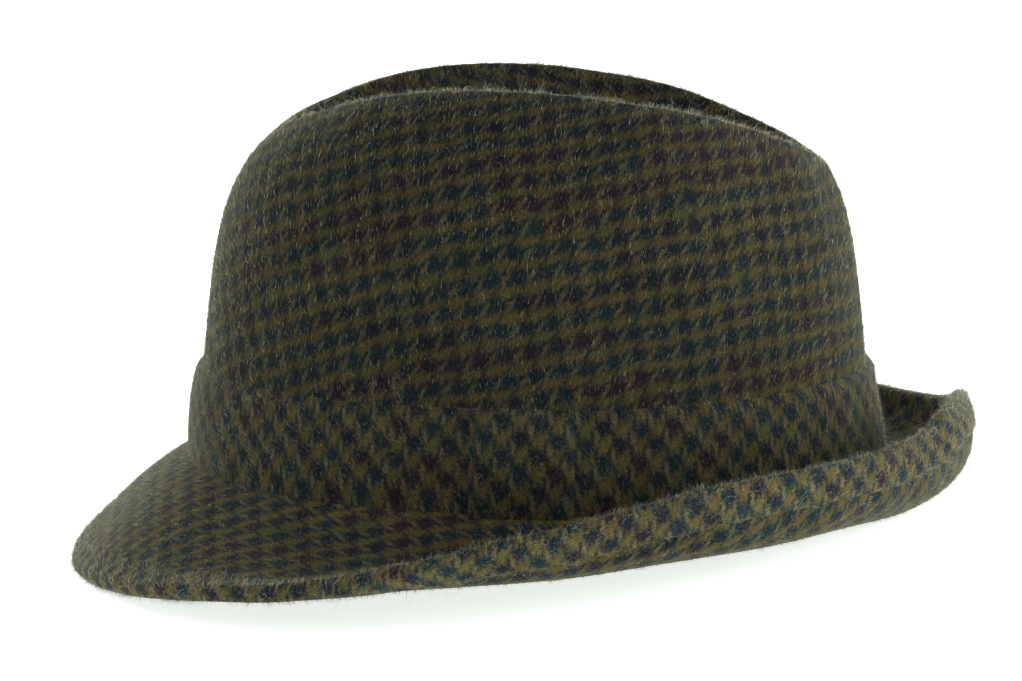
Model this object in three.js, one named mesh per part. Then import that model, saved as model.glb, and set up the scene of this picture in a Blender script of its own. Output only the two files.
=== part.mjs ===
// A trilby sewn from tweed: a dented crown of two pieces, a snapped brim with a bound rim, and a band with a loop.
import * as THREE from 'three';
import { mergeVertices } from 'three/addons/utils/BufferGeometryUtils.js';

// Driving sizes in millimetres. The hat is drawn upright, front towards -Y and the wearer's left towards +X,
// with the seam of crown and brim round the origin, and is tipped on to what it rests on at the end.
const CROWN_LENGTH = 202;
const CROWN_WIDTH = 174;
const CROWN_HEIGHT = 112;
const CROWN_WALL = 2;
const DENT_DEPTH = 26;
const DENT_END_DEPTH = 5;
const BRIM_WIDTH = 50;
const BRIM_WALL = 2.6;
const BINDING_WIDTH = 8.5;
const BINDING_CLOTH = 1;
const BAND_HEIGHT = 26.5;
const BAND_CLOTH = 1.3;
const LOOP_WIDTH = 28.5;
const LOOP_CLOTH = 1;
const LOOP_FORWARD = 5.5; // from the middle of the crown to the middle of the loop
const GAP = 0.3; // between pieces that are sewn together
const PRESS = 0.6; // how far the cloth is pressed flat where the hat rests

// Shapes without a length
const EGG = 0.05; // share by which the crown is wider at the back and narrower at the front
const SEAM_ROUNDNESS = 0.75; // 1 brings the side of the crown level at the ridge, less leaves a crease there
const SPINE_SHARE = 0.62; // length of the dent's bottom line against the ridge
const DENT_CURVE = 1.7; // 1 gives straight slopes into the dent, more gives a rounder bottom

// The ridge round the dent. along: share of the crown's length, from its middle towards the back;
// rise: share of its height; half: share of half its width.
const RIDGE = [
  { along: -0.350, rise: 0.882, half: 0.000 },
  { along: -0.335, rise: 0.903, half: 0.076 },
  { along: -0.290, rise: 0.935, half: 0.190 },
  { along: -0.210, rise: 0.977, half: 0.310 },
  { along: -0.100, rise: 1.000, half: 0.410 },
  { along: 0.020, rise: 1.000, half: 0.475 },
  { along: 0.120, rise: 0.973, half: 0.485 },
  { along: 0.220, rise: 0.934, half: 0.420 },
  { along: 0.310, rise: 0.882, half: 0.290 },
  { along: 0.370, rise: 0.840, half: 0.190 },
  { along: 0.405, rise: 0.805, half: 0.088 },
  { along: 0.425, rise: 0.778, half: 0.000 },
];

// The side of the crown. turn: degrees from the front; lean: share of the inset that comes evenly with height;
// power: how late the rest of it comes.
const SIDE = [
  { turn: 0, lean: 0.38, power: 5.8 },
  { turn: 90, lean: 0.36, power: 4.0 },
  { turn: 180, lean: 0.46, power: 5.0 },
];

// The brim. turn: degrees from the front towards the wearer's left, all the way round because the back is curled
// more tightly on the left; width: share of the brim's width; start and end: slope in degrees at the crown and at
// the rim, down is negative; curl: how late the slope changes.
const BRIM = [
  { turn: 0, width: 0.910, start: -27, end: -54, curl: 0.8 },
  { turn: 30, width: 0.910, start: -26, end: -42, curl: 1.3 },
  { turn: 55, width: 0.940, start: -31, end: 3, curl: 2 },
  { turn: 75, width: 0.980, start: -35, end: 50, curl: 2 },
  { turn: 90, width: 1.000, start: -36, end: 88, curl: 1.9 },
  { turn: 105, width: 1.000, start: -35, end: 106, curl: 1.6 },
  { turn: 120, width: 0.960, start: -36, end: 113, curl: 1.4 },
  { turn: 135, width: 0.900, start: -37, end: 116, curl: 1.3 },
  { turn: 150, width: 0.913, start: -48, end: 130.2, curl: 1.21 },
  { turn: 165, width: 0.986, start: -44.1, end: 144.8, curl: 1.28 },
  { turn: 180, width: 0.901, start: -33.7, end: 129.6, curl: 1.463 },
  { turn: 195, width: 0.818, start: -34.2, end: 94.2, curl: 1.559 },
  { turn: 210, width: 0.784, start: -38.6, end: 79.6, curl: 1.493 },
  { turn: 225, width: 0.848, start: -40.2, end: 83.5, curl: 1.519 },
  { turn: 240, width: 0.928, start: -38, end: 95.7, curl: 1.525 },
  { turn: 255, width: 1.000, start: -35, end: 106, curl: 1.6 },
  { turn: 270, width: 1.000, start: -36, end: 88, curl: 1.9 },
  { turn: 285, width: 0.980, start: -35, end: 50, curl: 2 },
  { turn: 305, width: 0.940, start: -31, end: 3, curl: 2 },
  { turn: 330, width: 0.910, start: -26, end: -42, curl: 1.3 },
];
const BRIM_LAPS = [-1, 0, 1].flatMap((lap) => BRIM.map((row) => ({ ...row, turn: row.turn + 360 * lap })));

// How finely each piece is divided
const COLUMNS = 72;
const SIDE_ROWS = 10;
const TIP_ROWS = 5;
const BRIM_ROWS = 8;
const BAND_ROWS = 2;
const LOOP_COLUMNS = 6;
const ARC_STEPS = 30;
const RIDGE_CROWDING = 1.5; // how much closer the rows of the crown's side lie towards the ridge
const STEEPEST_TIP = 30; // degrees, past any angle at which the hat could rest
const TIP_HALVINGS = 40;

const radians = THREE.MathUtils.degToRad;
const point = (x, y, z) => new THREE.Vector3(x, y, z);

// A smooth curve through one column of a table, by the slopes between its rows. A table from the front to the back
// is level at both ends, because the crown is the same on both sides.
function smooth(table, key, column, at) {
  const last = table.length - 1;
  const slope = (i) => {
    if (key === 'turn' && (i === 0 || i === last)) return 0;
    const a = table[Math.max(i - 1, 0)];
    const b = table[Math.min(i + 1, last)];
    return (b[column] - a[column]) / (b[key] - a[key]);
  };
  let i = 0;
  while (i < last - 1 && at > table[i + 1][key]) i += 1;
  const span = table[i + 1][key] - table[i][key];
  const t = THREE.MathUtils.clamp((at - table[i][key]) / span, 0, 1);
  const u = 1 - t;
  return (1 + 2 * t) * u * u * table[i][column] + t * u * u * span * slope(i)
    + t * t * (3 - 2 * t) * table[i + 1][column] - t * t * u * span * slope(i + 1);
}

// Degrees from the front, the same on both sides
const fromFront = (turn) => Math.abs(((turn + 540) % 360) - 180);

// The crown's outline at the brim: an egg with its narrow end in front, and its outward direction
function outline(turn) {
  const s = Math.sin(radians(turn));
  const c = Math.cos(radians(turn));
  const x = (CROWN_WIDTH / 2) * s * (1 - EGG * c);
  const y = (-CROWN_LENGTH / 2) * c;
  const alongX = (CROWN_WIDTH / 2) * (c - EGG * (c * c - s * s));
  const alongY = (CROWN_LENGTH / 2) * s;
  const out = point(alongY, -alongX, 0).normalize();
  return { at: point(x, y, 0), out };
}

// The ridge where the side of the crown meets its tip. The ends are rounded as an ellipse's are.
function ridge(turn) {
  const first = RIDGE[0].along;
  const last = RIDGE[RIDGE.length - 1].along;
  const middle = (first + last) / 2;
  const reach = (last - first) / 2;
  const fullness = RIDGE.map((row, i) => {
    const inside = RIDGE[THREE.MathUtils.clamp(i, 1, RIDGE.length - 2)];
    const round = Math.sqrt(1 - ((inside.along - middle) / reach) ** 2);
    return { along: row.along, half: inside.half / round };
  });
  const along = middle - reach * Math.cos(radians(turn));
  const half = smooth(fullness, 'along', 'half', along) * Math.sin(radians(turn));
  return point(
    half * CROWN_WIDTH / 2,
    along * CROWN_LENGTH,
    smooth(RIDGE, 'along', 'rise', along) * CROWN_HEIGHT,
  );
}

// A point on the outside of the crown, share of the way up from the brim to the ridge
function sidePoint(turn, share) {
  const lean = smooth(SIDE, 'turn', 'lean', fromFront(turn));
  const power = smooth(SIDE, 'turn', 'power', fromFront(turn));
  const late = (1 - Math.sqrt(1 - SEAM_ROUNDNESS * share ** power)) / (1 - Math.sqrt(1 - SEAM_ROUNDNESS));
  const inset = lean * share + (1 - lean) * late;
  const top = ridge(turn);
  const at = outline(turn).at.lerp(point(top.x, top.y, 0), inset);
  return at.setZ(top.z * share);
}

// The same by height, moved outwards
function besideCrown(turn, height, distance) {
  const at = sidePoint(turn, height / ridge(turn).z);
  return at.addScaledVector(outline(turn).out, distance);
}

// A point on the top of the tip, share of the way from the ridge to the dent's bottom line
function tipPoint(turn, share) {
  const edge = ridge(turn);
  const middle = (ridge(0).y + ridge(180).y) / 2;
  const middleness = Math.sin(radians(turn)) ** 2;
  const depth = DENT_END_DEPTH + (DENT_DEPTH - DENT_END_DEPTH) * middleness;
  const spineY = middle + (edge.y - middle) * SPINE_SHARE;
  const fall = 1 - (1 - share) ** DENT_CURVE;
  return point(edge.x * (1 - share), THREE.MathUtils.lerp(edge.y, spineY, share), edge.z - depth * fall);
}

// A point of the brim: share of its width from the crown, then past the rim, then off its middle surface
function brimPoint(turn, share, past, off) {
  const width = smooth(BRIM_LAPS, 'turn', 'width', turn) * BRIM_WIDTH;
  const start = smooth(BRIM_LAPS, 'turn', 'start', turn);
  const end = smooth(BRIM_LAPS, 'turn', 'end', turn);
  const curl = smooth(BRIM_LAPS, 'turn', 'curl', turn);
  const slopeAt = (w) => radians(start + (end - start) * w ** curl);
  let reach = 0;
  let height = 0;
  for (let i = 0; i < ARC_STEPS; i += 1) {
    const slope = slopeAt(share * (i + 0.5) / ARC_STEPS);
    reach += Math.cos(slope) * width * share / ARC_STEPS;
    height += Math.sin(slope) * width * share / ARC_STEPS;
  }
  // the brim lies level under the crown, so at the seam its slope is half of what it starts with
  const slope = share === 0 ? slopeAt(0) / 2 : slopeAt(share);
  reach += Math.cos(slope) * past - Math.sin(slope) * off;
  height += Math.sin(slope) * past + Math.cos(slope) * off;
  const { at, out } = outline(turn);
  return at.addScaledVector(out, reach).setZ(height);
}

// The level strip of brim that the crown stands on
function landingPoint(turn, off) {
  const { at, out } = outline(turn);
  return at.addScaledVector(out, -CROWN_WALL).setZ(off);
}

// Share of the brim's width at which its binding begins
function bindingStart(turn) {
  return 1 - BINDING_WIDTH / (smooth(BRIM_LAPS, 'turn', 'width', turn) * BRIM_WIDTH);
}

const turns = Array.from({ length: COLUMNS }, (_, i) => 360 * i / COLUMNS);
const shares = (rows) => Array.from({ length: rows + 1 }, (_, i) => i / rows);

// Unit outward normals of a grid of points, columns round the hat and rows outwards or upwards
function normals(grid) {
  const n = grid.length;
  return grid.map((column, i) => column.map((_, j) => {
    const round = grid[(i + 1) % n][j].clone().sub(grid[(i + n - 1) % n][j]);
    const up = column[Math.min(j + 1, column.length - 1)].clone().sub(column[Math.max(j - 1, 0)]);
    return round.cross(up).normalize();
  }));
}

// A closed skin through sections, each a loop of points. Each strip between two points of the loop is cut into
// triangles on one diagonal, and on the other one where returns says that the loop runs back, so that faces that
// lie against each other are cut alike. skip names a strip that stays open because the sections meet there; round
// says that the last section joins the first.
function skin(sections, { round = true, skip = -1, returns = () => false } = {}) {
  const positions = [];
  const triangle = (a, b, c) => [a, b, c].forEach((p) => positions.push(p.x, p.y, p.z));
  const loop = sections[0].length;
  const count = round ? sections.length : sections.length - 1;
  for (let i = 0; i < count; i += 1) {
    const here = sections[i];
    const next = sections[(i + 1) % sections.length];
    for (let j = 0; j < loop; j += 1) {
      if (j === skip) continue;
      const k = (j + 1) % loop;
      const otherHalf = round && i >= sections.length / 2;
      if (returns(j) === otherHalf) {
        triangle(here[j], next[j], next[k]);
        triangle(here[j], next[k], here[k]);
      } else {
        triangle(here[j], next[j], here[k]);
        triangle(next[j], next[k], here[k]);
      }
    }
  }
  if (!round) {
    const flat = sections[0].map((p) => new THREE.Vector2(p.x, p.z));
    const first = sections[0];
    const last = sections[sections.length - 1];
    for (const [a, b, c] of THREE.ShapeUtils.triangulateShape(flat, [])) {
      triangle(first[a], first[b], first[c]);
      triangle(last[a], last[c], last[b]);
    }
  }
  return positions;
}

// The crown, both pieces at once because they share the mitre at the ridge
const footShare = (turn) => (BRIM_WALL / 2 + GAP) / ridge(turn).z;
const sideGrid = turns.map((turn) => shares(SIDE_ROWS).map((t) => {
  const risen = 1 - (1 - t) ** RIDGE_CROWDING;
  return sidePoint(turn, THREE.MathUtils.lerp(footShare(turn), 1, risen));
}));
const tipGrid = turns.map((turn) => shares(TIP_ROWS).map((t) => tipPoint(turn, t)));
const sideNormals = normals(sideGrid);
const tipNormals = normals(tipGrid);

// The mitred edge of one piece at the ridge, as its outer and inner corner
function mitre(inside, normal, other) {
  const corner = inside.at;
  const away = inside.before.clone().sub(corner).normalize();
  const across = normal.clone().sub(other).normalize();
  const back = GAP / 2 / Math.abs(away.dot(across));
  const inner = normal.clone().add(other).multiplyScalar(-CROWN_WALL / (1 + normal.dot(other)));
  const outerCorner = corner.clone().addScaledVector(away, back);
  return [outerCorner, outerCorner.clone().add(inner)];
}

function crownSide() {
  return skin(turns.map((_, i) => {
    const rows = sideGrid[i];
    const n = sideNormals[i];
    const last = rows.length - 1;
    const edge = mitre({ at: rows[last], before: rows[last - 1] }, n[last], tipNormals[i][0]);
    const outer = rows.slice(0, last);
    const inner = outer.map((p, j) => p.clone().addScaledVector(n[j], -CROWN_WALL));
    // the foot stands level on the brim
    inner[0] = outer[0].clone().addScaledVector(outline(turns[i]).out, -CROWN_WALL);
    return [...outer, ...edge, ...inner.reverse()];
  }), { returns: (j) => j > SIDE_ROWS });
}

function crownTip() {
  return skin(turns.map((_, i) => {
    const rows = tipGrid[i];
    const n = tipNormals[i];
    const edge = mitre({ at: rows[0], before: rows[1] }, n[0], sideNormals[i][SIDE_ROWS]);
    const top = rows.slice(1);
    const bottom = top.map((p, j) => p.clone().addScaledVector(n[j + 1], -CROWN_WALL));
    // both halves meet on the bottom line of the dent
    bottom[bottom.length - 1] = top[top.length - 1].clone().add(point(0, 0, -CROWN_WALL));
    return [edge[0], ...top, ...bottom.reverse(), edge[1]];
  }), { skip: TIP_ROWS, returns: (j) => j > TIP_ROWS });
}

function brim() {
  const half = BRIM_WALL / 2;
  return skin(turns.map((turn) => {
    const start = bindingStart(turn);
    const rows = [...shares(BRIM_ROWS).map((t) => t * start), (1 + start) / 2, 1];
    const under = rows.map((w) => brimPoint(turn, w, 0, -half));
    const over = rows.map((w) => brimPoint(turn, w, 0, half)).reverse();
    return [landingPoint(turn, -half), ...under, ...over, landingPoint(turn, half)];
  }), { returns: (j) => j > BRIM_ROWS + 3 });
}

function brimBinding() {
  const clear = BRIM_WALL / 2 + GAP;
  const outside = clear + BINDING_CLOTH;
  const rounding = 0.6; // share of the thickness at which the fold over the rim is rounded
  return skin(turns.map((turn) => {
    const start = bindingStart(turn);
    const rows = [start, (1 + start) / 2];
    const face = (off) => [...rows, 1].map((w) => brimPoint(turn, w, 0, off));
    const inside = (off) => [...rows.map((w) => brimPoint(turn, w, 0, off)), brimPoint(turn, 1, GAP, off)];
    const fold = (off) => brimPoint(turn, 1, GAP + BINDING_CLOTH, off);
    return [
      ...face(-outside), fold(-outside * rounding), fold(outside * rounding), ...face(outside).reverse(),
      ...inside(clear), ...inside(-clear).reverse(),
    ];
  }), { returns: (j) => (j > 3 && j < 7) || j > 10 });
}

const bandFoot = BRIM_WALL / 2 + 2 * GAP;
const bandTop = bandFoot + BAND_HEIGHT;

function hatBand() {
  return skin(turns.map((turn) => {
    const heights = shares(BAND_ROWS).map((t) => THREE.MathUtils.lerp(bandFoot, bandTop, t));
    const outer = heights.map((z) => besideCrown(turn, z, GAP + BAND_CLOTH));
    const inner = heights.map((z) => besideCrown(turn, z, GAP)).reverse();
    return [...outer, ...inner];
  }));
}

// The loop lies over the band on the wearer's left and turns in over its top edge
function bandLoop() {
  const over = 2 * GAP + BAND_CLOTH;
  return skin(shares(LOOP_COLUMNS).map((t) => {
    const y = -LOOP_FORWARD + (t - 0.5) * LOOP_WIDTH;
    const turn = THREE.MathUtils.radToDeg(Math.acos(-y / (CROWN_LENGTH / 2)));
    const lid = bandTop + GAP;
    return [
      besideCrown(turn, bandFoot, over), besideCrown(turn, bandFoot, over + LOOP_CLOTH),
      besideCrown(turn, lid + LOOP_CLOTH, over + LOOP_CLOTH), besideCrown(turn, lid + LOOP_CLOTH, GAP),
      besideCrown(turn, lid, GAP), besideCrown(turn, lid, over),
    ];
  }), { round: false });
}

const pieces = {
  crown_side: crownSide(),
  crown_tip: crownTip(),
  brim: brim(),
  brim_binding: brimBinding(),
  hat_band: hatBand(),
  band_loop: bandLoop(),
};

// The lowest point of the front or back half of the hat once it is tipped by an angle about X
function lowest(tip, back) {
  let low = Infinity;
  for (const positions of [pieces.brim, pieces.brim_binding]) {
    for (let i = 0; i < positions.length; i += 3) {
      if ((positions[i + 1] > 0) !== back) continue;
      low = Math.min(low, positions[i + 1] * Math.sin(tip) + positions[i + 2] * Math.cos(tip));
    }
  }
  return low;
}

// Left to itself the hat tips back until its rim in front and its brim at the back rest together
function restingTip() {
  let level = 0;
  let steep = radians(-STEEPEST_TIP);
  for (let i = 0; i < TIP_HALVINGS; i += 1) {
    const tip = (level + steep) / 2;
    if (lowest(tip, false) < lowest(tip, true)) level = tip;
    else steep = tip;
  }
  return (level + steep) / 2;
}

// Stands the pieces on the floor and presses flat what would reach below it
function settle() {
  const tip = restingTip();
  const floor = lowest(tip, true) + PRESS;
  const turned = new THREE.Matrix4().makeRotationX(tip);
  const box = new THREE.Box3();
  const settled = {};
  for (const [name, positions] of Object.entries(pieces)) {
    const geometry = new THREE.BufferGeometry();
    geometry.setAttribute('position', new THREE.Float32BufferAttribute(positions, 3));
    geometry.applyMatrix4(turned).translate(0, 0, -floor);
    const at = geometry.getAttribute('position');
    for (let i = 0; i < at.count; i += 1) at.setZ(i, Math.max(0, at.getZ(i)));
    geometry.computeBoundingBox();
    box.union(geometry.boundingBox);
    settled[name] = geometry;
  }
  const middle = box.getCenter(new THREE.Vector3());
  for (const geometry of Object.values(settled)) geometry.translate(-middle.x, -middle.y, 0);
  return settled;
}

// Dark tweed, the binding a little lighter where its folded edge wears
const colours = {
  crown_side: 0x3d3b32,
  crown_tip: 0x3b3930,
  brim: 0x403e35,
  brim_binding: 0x47443a,
  hat_band: 0x3a382f,
  band_loop: 0x3c3a31,
};

const trilby = new THREE.Group();
for (const [name, geometry] of Object.entries(settle())) {
  const merged = mergeVertices(geometry, 1e-4);
  merged.computeVertexNormals();
  const cloth = new THREE.MeshStandardMaterial({ color: colours[name], roughness: 0.95, metalness: 0 });
  const mesh = new THREE.Mesh(merged, cloth);
  mesh.name = name;
  trilby.add(mesh);
}

export default trilby;
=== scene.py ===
import math

import bmesh
import bpy
import numpy as np
from mathutils import Matrix, Vector


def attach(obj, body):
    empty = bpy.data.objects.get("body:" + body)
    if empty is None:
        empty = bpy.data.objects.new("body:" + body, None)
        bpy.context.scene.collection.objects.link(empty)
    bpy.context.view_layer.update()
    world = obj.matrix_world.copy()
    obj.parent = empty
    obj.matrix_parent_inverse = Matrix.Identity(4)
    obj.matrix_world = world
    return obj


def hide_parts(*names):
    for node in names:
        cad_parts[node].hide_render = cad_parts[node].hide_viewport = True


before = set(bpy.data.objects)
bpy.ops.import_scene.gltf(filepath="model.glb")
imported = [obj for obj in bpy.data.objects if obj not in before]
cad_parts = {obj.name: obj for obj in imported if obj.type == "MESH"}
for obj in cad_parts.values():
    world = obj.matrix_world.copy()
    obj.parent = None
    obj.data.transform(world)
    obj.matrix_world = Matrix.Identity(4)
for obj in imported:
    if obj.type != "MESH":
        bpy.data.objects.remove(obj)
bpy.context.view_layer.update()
mm = 0.001  # lengths below are in millimetres and become metres as a piece is placed

# Sizes that several pieces share, in the hat's own frame: front towards -Y, wearer's left towards +X,
# the seam of crown and brim round the origin
crown = {"length": 202, "width": 174, "height": 112, "wall": 2, "egg": 0.05, "roundness": 0.75}
dent = {"depth": 26, "endDepth": 5, "spineShare": 0.62, "curve": 1.7}
brim = {"width": 50, "wall": 2.6, "steps": 30}
gap = 0.3
rest = {"tip": -5.6854, "lift": 18.126, "forward": 3.042}  # how the hat settles on a level surface
weave = {"repeat": 6.8, "threads": 8}  # the size of one star of the check, and the threads across it

ridgeLine = {
    "along": [-0.350, -0.335, -0.290, -0.210, -0.100, 0.020, 0.120, 0.220, 0.310, 0.370, 0.405, 0.425],
    "rise": [0.882, 0.903, 0.935, 0.977, 1.000, 1.000, 0.973, 0.934, 0.882, 0.840, 0.805, 0.778],
    "half": [0.000, 0.076, 0.190, 0.310, 0.410, 0.475, 0.485, 0.420, 0.290, 0.190, 0.088, 0.000],
}
sideLine = {"turn": [0, 90, 180], "lean": [0.38, 0.36, 0.46], "power": [5.8, 4.0, 5.0]}
brimLine = {
    "round": [0, 30, 55, 75, 90, 105, 120, 135, 150, 165, 180, 195, 210, 225, 240, 255, 270, 285, 305, 330],
    "width": [0.91, 0.91, 0.94, 0.98, 1.00, 1.00, 0.96, 0.90, 0.913, 0.986, 0.901, 0.818, 0.784, 0.848, 0.928,
              1.00, 1.00, 0.98, 0.94, 0.91],
    "start": [-27, -26, -31, -35, -36, -35, -36, -37, -48, -44.1, -33.7, -34.2, -38.6, -40.2, -38,
              -35, -36, -35, -31, -26],
    "end": [-54, -42, 3, 50, 88, 106, 113, 116, 130.2, 144.8, 129.6, 94.2, 79.6, 83.5, 95.7,
            106, 88, 50, 3, -42],
    "curl": [0.8, 1.3, 2.0, 2.0, 1.9, 1.6, 1.4, 1.3, 1.21, 1.28, 1.463, 1.559, 1.493, 1.519, 1.525,
             1.6, 1.9, 2.0, 2.0, 1.3],
}


# A smooth curve through one column of a table, by the slopes between its rows. A table by turn runs from
# the front to the back and is level at both; a table that goes round joins its own start.
def smooth(table, key, column, at):
    xs = np.array(table[key], float)
    ys = np.array(table[column], float)
    if key == "round":
        xs = np.concatenate([xs - 360, xs, xs + 360])
        ys = np.tile(ys, 3)
    slopes = (np.append(ys[1:], ys[-1]) - np.insert(ys[:-1], 0, ys[0])) / (
        np.append(xs[1:], xs[-1]) - np.insert(xs[:-1], 0, xs[0])
    )
    if key == "turn":
        slopes[[0, -1]] = 0
    i = np.clip(np.searchsorted(xs, at) - 1, 0, len(xs) - 2)
    span = xs[i + 1] - xs[i]
    t = np.clip((at - xs[i]) / span, 0, 1)
    u = 1 - t
    return ((1 + 2 * t) * u * u * ys[i] + t * u * u * span * slopes[i]
            + t * t * (3 - 2 * t) * ys[i + 1] - t * t * u * span * slopes[i + 1])


# Points from three parts that may differ in shape
def points(x, y, z):
    return np.stack(np.broadcast_arrays(x, y, z), -1).astype(float)


def unit(vectors):
    return vectors / np.maximum(np.linalg.norm(vectors, axis=-1, keepdims=True), 1e-12)


def blendTo(a, b, share):
    return a + (b - a) * share


# The crown's outline at the brim, an egg with its narrow end in front, and its outward direction
def outline(turn):
    s, c = np.sin(np.radians(turn)), np.cos(np.radians(turn))
    x = crown["width"] / 2 * s * (1 - crown["egg"] * c)
    y = -crown["length"] / 2 * c
    alongX = crown["width"] / 2 * (c - crown["egg"] * (c * c - s * s))
    alongY = crown["length"] / 2 * s
    return points(x, y, 0), unit(points(alongY, -alongX, 0))


# The ridge where the side of the crown meets its tip
def ridge(turn):
    along, half = np.array(ridgeLine["along"]), np.array(ridgeLine["half"])
    middle, reach = (along[0] + along[-1]) / 2, (along[-1] - along[0]) / 2
    inside = np.clip(np.arange(len(along)), 1, len(along) - 2)
    fullness = {"along": along, "half": half[inside] / np.sqrt(1 - ((along[inside] - middle) / reach) ** 2)}
    at = middle - reach * np.cos(np.radians(turn))
    x = smooth(fullness, "along", "half", at) * np.sin(np.radians(turn)) * crown["width"] / 2
    return points(x, at * crown["length"], smooth(ridgeLine, "along", "rise", at) * crown["height"])


# The outside of the crown, share of the way up from the brim to the ridge
def sidePoint(turn, share):
    lean = smooth(sideLine, "turn", "lean", np.abs(turn))
    power = smooth(sideLine, "turn", "power", np.abs(turn))
    full = 1 - math.sqrt(1 - crown["roundness"])
    late = (1 - np.sqrt(1 - crown["roundness"] * share ** power)) / full
    inset = (lean * share + (1 - lean) * late)[..., None]
    top = ridge(turn)
    at = blendTo(outline(turn)[0], top, inset)
    at[..., 2] = top[..., 2] * share
    return at


# The same by height, moved outwards; below the seam it goes straight down
def besideCrown(turn, height, distance):
    at = sidePoint(turn, np.maximum(height, 0.01) / ridge(turn)[..., 2])
    at = at + outline(turn)[1] * np.asarray(distance)[..., None]
    at[..., 2] = height
    return at


# The top of the tip, share of the way from the ridge to the dent's bottom line
def tipPoint(turn, share):
    edge = ridge(turn)
    middle = (ridge(0.0)[1] + ridge(180.0)[1]) / 2
    depth = dent["endDepth"] + (dent["depth"] - dent["endDepth"]) * np.sin(np.radians(turn)) ** 2
    spineY = middle + (edge[..., 1] - middle) * dent["spineShare"]
    fall = 1 - (1 - share) ** dent["curve"]
    y = blendTo(edge[..., 1], spineY, share)
    return points(edge[..., 0] * (1 - share), y, edge[..., 2] - depth * fall)


# The brim: share of its width from the crown, then past the rim, then off its middle surface
def brimPoint(turn, share, past, off):
    width, start, end, curl = (smooth(brimLine, "round", k, turn) for k in ("width", "start", "end", "curl"))
    width = width * brim["width"]
    reach = height = 0
    for i in range(brim["steps"]):
        slope = np.radians(start + (end - start) * (share * (i + 0.5) / brim["steps"]) ** curl)
        reach = reach + np.cos(slope) * width * share / brim["steps"]
        height = height + np.sin(slope) * width * share / brim["steps"]
    # the brim lies level under the crown, so near the seam its slope is less than what it starts with
    settled = np.clip(share / 0.04, 0, 1) * 0.5 + 0.5
    slope = np.radians(start + (end - start) * share ** curl) * settled
    reach = reach + np.cos(slope) * past - np.sin(slope) * off
    height = height + np.sin(slope) * past + np.cos(slope) * off
    at, out = outline(turn)
    at = at + out * reach[..., None]
    at[..., 2] = height
    return at


# Height of the brim's top at a small distance from the crown
def brimTop(turn, out):
    slope = np.radians(smooth(brimLine, "round", "start", turn))
    return brim["wall"] / 2 / np.cos(slope) + out * np.tan(slope)


# Share of the brim's width that is left inside a length from the rim
def fromRim(turn, length):
    return 1 - length / (smooth(brimLine, "round", "width", turn) * brim["width"])


# Turns round the hat from the middle of the back, closer together at the two seams of the crown's side
def turnsRound(count, seams=False):
    turns = np.linspace(-180, 180, count + 1)
    if seams:
        near = np.array([0.25, 0.55, 0.9, 1.7])
        extra = np.concatenate([-near, near, 180 - near, near - 180])
        turns = np.unique(np.concatenate([turns[1:-1], extra, [-180, 180]]))
    return turns


# How far round the crown each turn lies from the middle of the side, backwards counted up
def lengthRound(turn):
    fine = np.linspace(0, 180, 721)
    at = outline(fine)[0]
    sums = np.append(0, np.cumsum(np.linalg.norm(np.diff(at, axis=0), axis=-1)))
    sums = sums - np.interp(90, fine, sums)
    return np.interp(np.abs(turn), fine, sums)


# Lengths along each column of a grid of points
def lengthAlong(grid):
    steps = np.linalg.norm(np.diff(grid, axis=1), axis=-1)
    return np.concatenate([np.zeros((len(grid), 1)), np.cumsum(steps, axis=1)], axis=1)


# Unit normals of a grid of points that closes on itself; columns round the hat, rows up or outwards
def normals(grid):
    around = np.empty_like(grid)
    around[1:-1] = grid[2:] - grid[:-2]
    around[[0, -1]] = grid[1] - grid[-2]
    return unit(np.cross(around, np.gradient(grid, axis=1)))


# How far a rounded edge lies below the surface, at a distance from the edge
def rounding(distance, radius, depth):
    inside = 1 - np.clip(distance / radius, 0, 1)
    return depth * (1 - np.sqrt(np.maximum(1 - inside ** 2, 0)))


# Slow uneven waves, as sewn cloth has; the same field for every piece, so that neighbours keep their gap
waves = {"count": 14, "longest": 120, "shortest": 28, "height": 0.16, "seed": 7}
waveDraw = np.random.default_rng(waves["seed"])
waveLengths = waveDraw.uniform(waves["shortest"], waves["longest"], waves["count"])
waveWays = unit(waveDraw.normal(size=(waves["count"], 3))) * (2 * math.pi / waveLengths)[:, None]
waveMoves = unit(waveDraw.normal(size=(waves["count"], 3))) * (waves["height"] * waveLengths / 60)[:, None]
wavePhases = waveDraw.uniform(0, 2 * math.pi, waves["count"])


def sway(at):
    return np.sin(at @ waveWays.T + wavePhases) @ waveMoves


# From the hat's own frame in millimetres to where it lies, in metres
def settle(at):
    tip = math.radians(rest["tip"])
    turned = at @ np.array(Matrix.Rotation(tip, 3, "X")).T
    placed = turned + np.array([0, rest["forward"], rest["lift"]])
    nearFloor = np.clip(placed[..., 2:] / 12, 0, 1)
    placed = placed + sway(at) * nearFloor
    placed[..., 2] = np.maximum(placed[..., 2], 0)
    return placed * mm


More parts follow.
